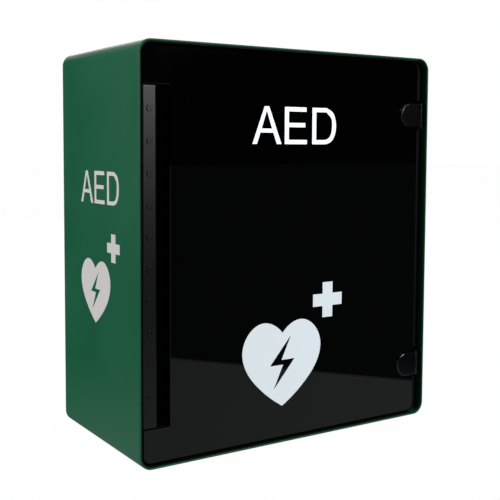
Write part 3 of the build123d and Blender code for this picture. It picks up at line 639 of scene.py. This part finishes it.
def paper_floor():
    """Pale paper: near white to the camera, dim to what it lights, and only so far mirrored."""
    material = bpy.data.materials.new("pale_paper_floor")
    material.use_nodes = True
    tree = material.node_tree
    tree.nodes.clear()
    place = add_node(tree, "ShaderNodeTexCoord")
    split = add_node(tree, "ShaderNodeSeparateXYZ", {0: place.outputs["Object"]})
    across = add_node(tree, "ShaderNodeMath", {0: split.outputs["X"], 1: SHEET_SLANT_X},
                      operation="MULTIPLY")
    along = add_node(tree, "ShaderNodeMath", {
        0: split.outputs["Y"], 1: SHEET_SLANT_Y, 2: across.outputs[0]},
        operation="MULTIPLY_ADD")
    sheet = add_node(tree, "ShaderNodeMapRange", {
        "Value": along.outputs[0], "From Min": SHEET_EDGE[0], "From Max": SHEET_EDGE[1],
        "To Min": SHEET_MIRRORED[0], "To Max": SHEET_MIRRORED[1]})
    behind = add_node(tree, "ShaderNodeMapRange", {
        "Value": split.outputs["Y"], "From Min": BEHIND_EDGE[0], "From Max": BEHIND_EDGE[1],
        "To Min": BEHIND_MIRRORED[0], "To Max": BEHIND_MIRRORED[1]})
    strength = add_node(tree, "ShaderNodeMath", {
        0: sheet.outputs["Result"], 1: behind.outputs["Result"]}, operation="MULTIPLY")
    mirrored = add_node(tree, "ShaderNodeEmission", {
        "Color": (0.92, 1, 0.98, 1), "Strength": strength.outputs[0]})
    paper = add_node(tree, "ShaderNodeBsdfDiffuse", {"Color": (0.16, 0.16, 0.16, 1)})
    glow = add_node(tree, "ShaderNodeEmission", {"Strength": 0.985})
    shade = add_node(tree, "ShaderNodeBsdfDiffuse", {"Color": (0.03, 0.03, 0.03, 1)})
    seen = add_node(tree, "ShaderNodeAddShader", {0: glow.outputs[0], 1: shade.outputs[0]})
    path = add_node(tree, "ShaderNodeLightPath")
    lit = add_node(tree, "ShaderNodeMixShader", {
        0: path.outputs["Is Glossy Ray"], 1: paper.outputs[0], 2: mirrored.outputs[0]})
    mix = add_node(tree, "ShaderNodeMixShader", {
        0: path.outputs["Is Camera Ray"], 1: lit.outputs[0], 2: seen.outputs[0]})
    add_node(tree, "ShaderNodeOutputMaterial", {"Surface": mix.outputs[0]})
    mesh = bpy.data.meshes.new("floor")
    corners = [(-1, -1), (1, -1), (1, 1), (-1, 1)]
    mesh.from_pydata([(x * FLOOR_REACH, y * FLOOR_REACH, 0) for x, y in corners],
                     [], [(0, 1, 2, 3)])
    mesh.materials.append(material)
    floor = bpy.data.objects.new("floor", mesh)
    bpy.context.scene.collection.objects.link(floor)


def place_camera(stage):
    """Camera from its turn to the right, its tilt down and its roll."""
    forward = Vector((math.sin(stage.yaw) * math.cos(stage.pitch),
                      math.cos(stage.yaw) * math.cos(stage.pitch), -math.sin(stage.pitch)))
    level = Vector((math.cos(stage.yaw), -math.sin(stage.yaw), 0))
    upright = level.cross(forward)
    right = math.cos(stage.roll) * level + math.sin(stage.roll) * upright
    up = math.cos(stage.roll) * upright - math.sin(stage.roll) * level
    data = bpy.data.cameras.new("camera")
    data.lens = stage.lens
    data.sensor_width = 36.0
    data.shift_x = stage.shift_x
    data.shift_y = stage.shift_y
    data.clip_start = 0.01
    camera = bpy.data.objects.new("camera", data)
    bpy.context.scene.collection.objects.link(camera)
    turn = Matrix((right, up, -forward)).transposed().to_4x4()
    camera.matrix_world = Matrix.Translation(stage.camera_at) @ turn
    bpy.context.scene.camera = camera


class CABINET_OT_stage(bpy.types.Operator):
    """Floor, lights and camera"""

    bl_idname = "cabinet.stage"
    bl_label = "Stage"

    def execute(self, context):
        context.scene.view_settings.view_transform = "Standard"
        place_camera(context.scene.stage_looks)
        plain_world()
        paper_floor()
        for name, at, target, width, height, power in SOFT_BOXES:
            soft_box(name, at, target, width, height, power)
        return {"FINISHED"}


class CABINET_PT_panel(bpy.types.Panel):
    """Cabinet tools"""

    bl_idname = "CABINET_PT_panel"
    bl_label = "AED Wall Cabinet"
    bl_space_type = "VIEW_3D"
    bl_region_type = "UI"
    bl_category = "Cabinet"

    def draw(self, context):
        for settings in ("cabinet_looks", "unit_looks", "fitting_looks", "stage_looks"):
            group = getattr(context.scene, settings)
            for key in group.__annotations__:
                self.layout.prop(group, key)
        for step in STEPS:
            self.layout.operator(step.bl_idname)


SETTINGS = (CabinetSettings, UnitSettings, FittingSettings, StageSettings)
STEPS = (CABINET_OT_casing, CABINET_OT_frame, CABINET_OT_door, CABINET_OT_hinges,
         CABINET_OT_signs, CABINET_OT_alarm, CABINET_OT_unit, CABINET_OT_rivets,
         CABINET_OT_studs, CABINET_OT_ribs, CABINET_OT_stage)


def register():
    for item in (*SETTINGS, *STEPS, CABINET_PT_panel):
        bpy.utils.register_class(item)
    bpy.types.Scene.cabinet_looks = PointerProperty(type=CabinetSettings)
    bpy.types.Scene.unit_looks = PointerProperty(type=UnitSettings)
    bpy.types.Scene.fitting_looks = PointerProperty(type=FittingSettings)
    bpy.types.Scene.stage_looks = PointerProperty(type=StageSettings)


def unregister():
    del bpy.types.Scene.stage_looks
    del bpy.types.Scene.fitting_looks
    del bpy.types.Scene.unit_looks
    del bpy.types.Scene.cabinet_looks
    for item in reversed((*SETTINGS, *STEPS, CABINET_PT_panel)):
        bpy.utils.unregister_class(item)


def main():
    """Register the add-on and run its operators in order."""
    register()
    bpy.ops.cabinet.casing()
    bpy.ops.cabinet.frame()
    bpy.ops.cabinet.door()
    bpy.ops.cabinet.hinges()
    bpy.ops.cabinet.signs()
    bpy.ops.cabinet.alarm()
    bpy.ops.cabinet.unit()
    bpy.ops.cabinet.rivets()
    bpy.ops.cabinet.studs()
    bpy.ops.cabinet.ribs()
    bpy.ops.cabinet.stage()


if __name__ == "__main__":
    main()
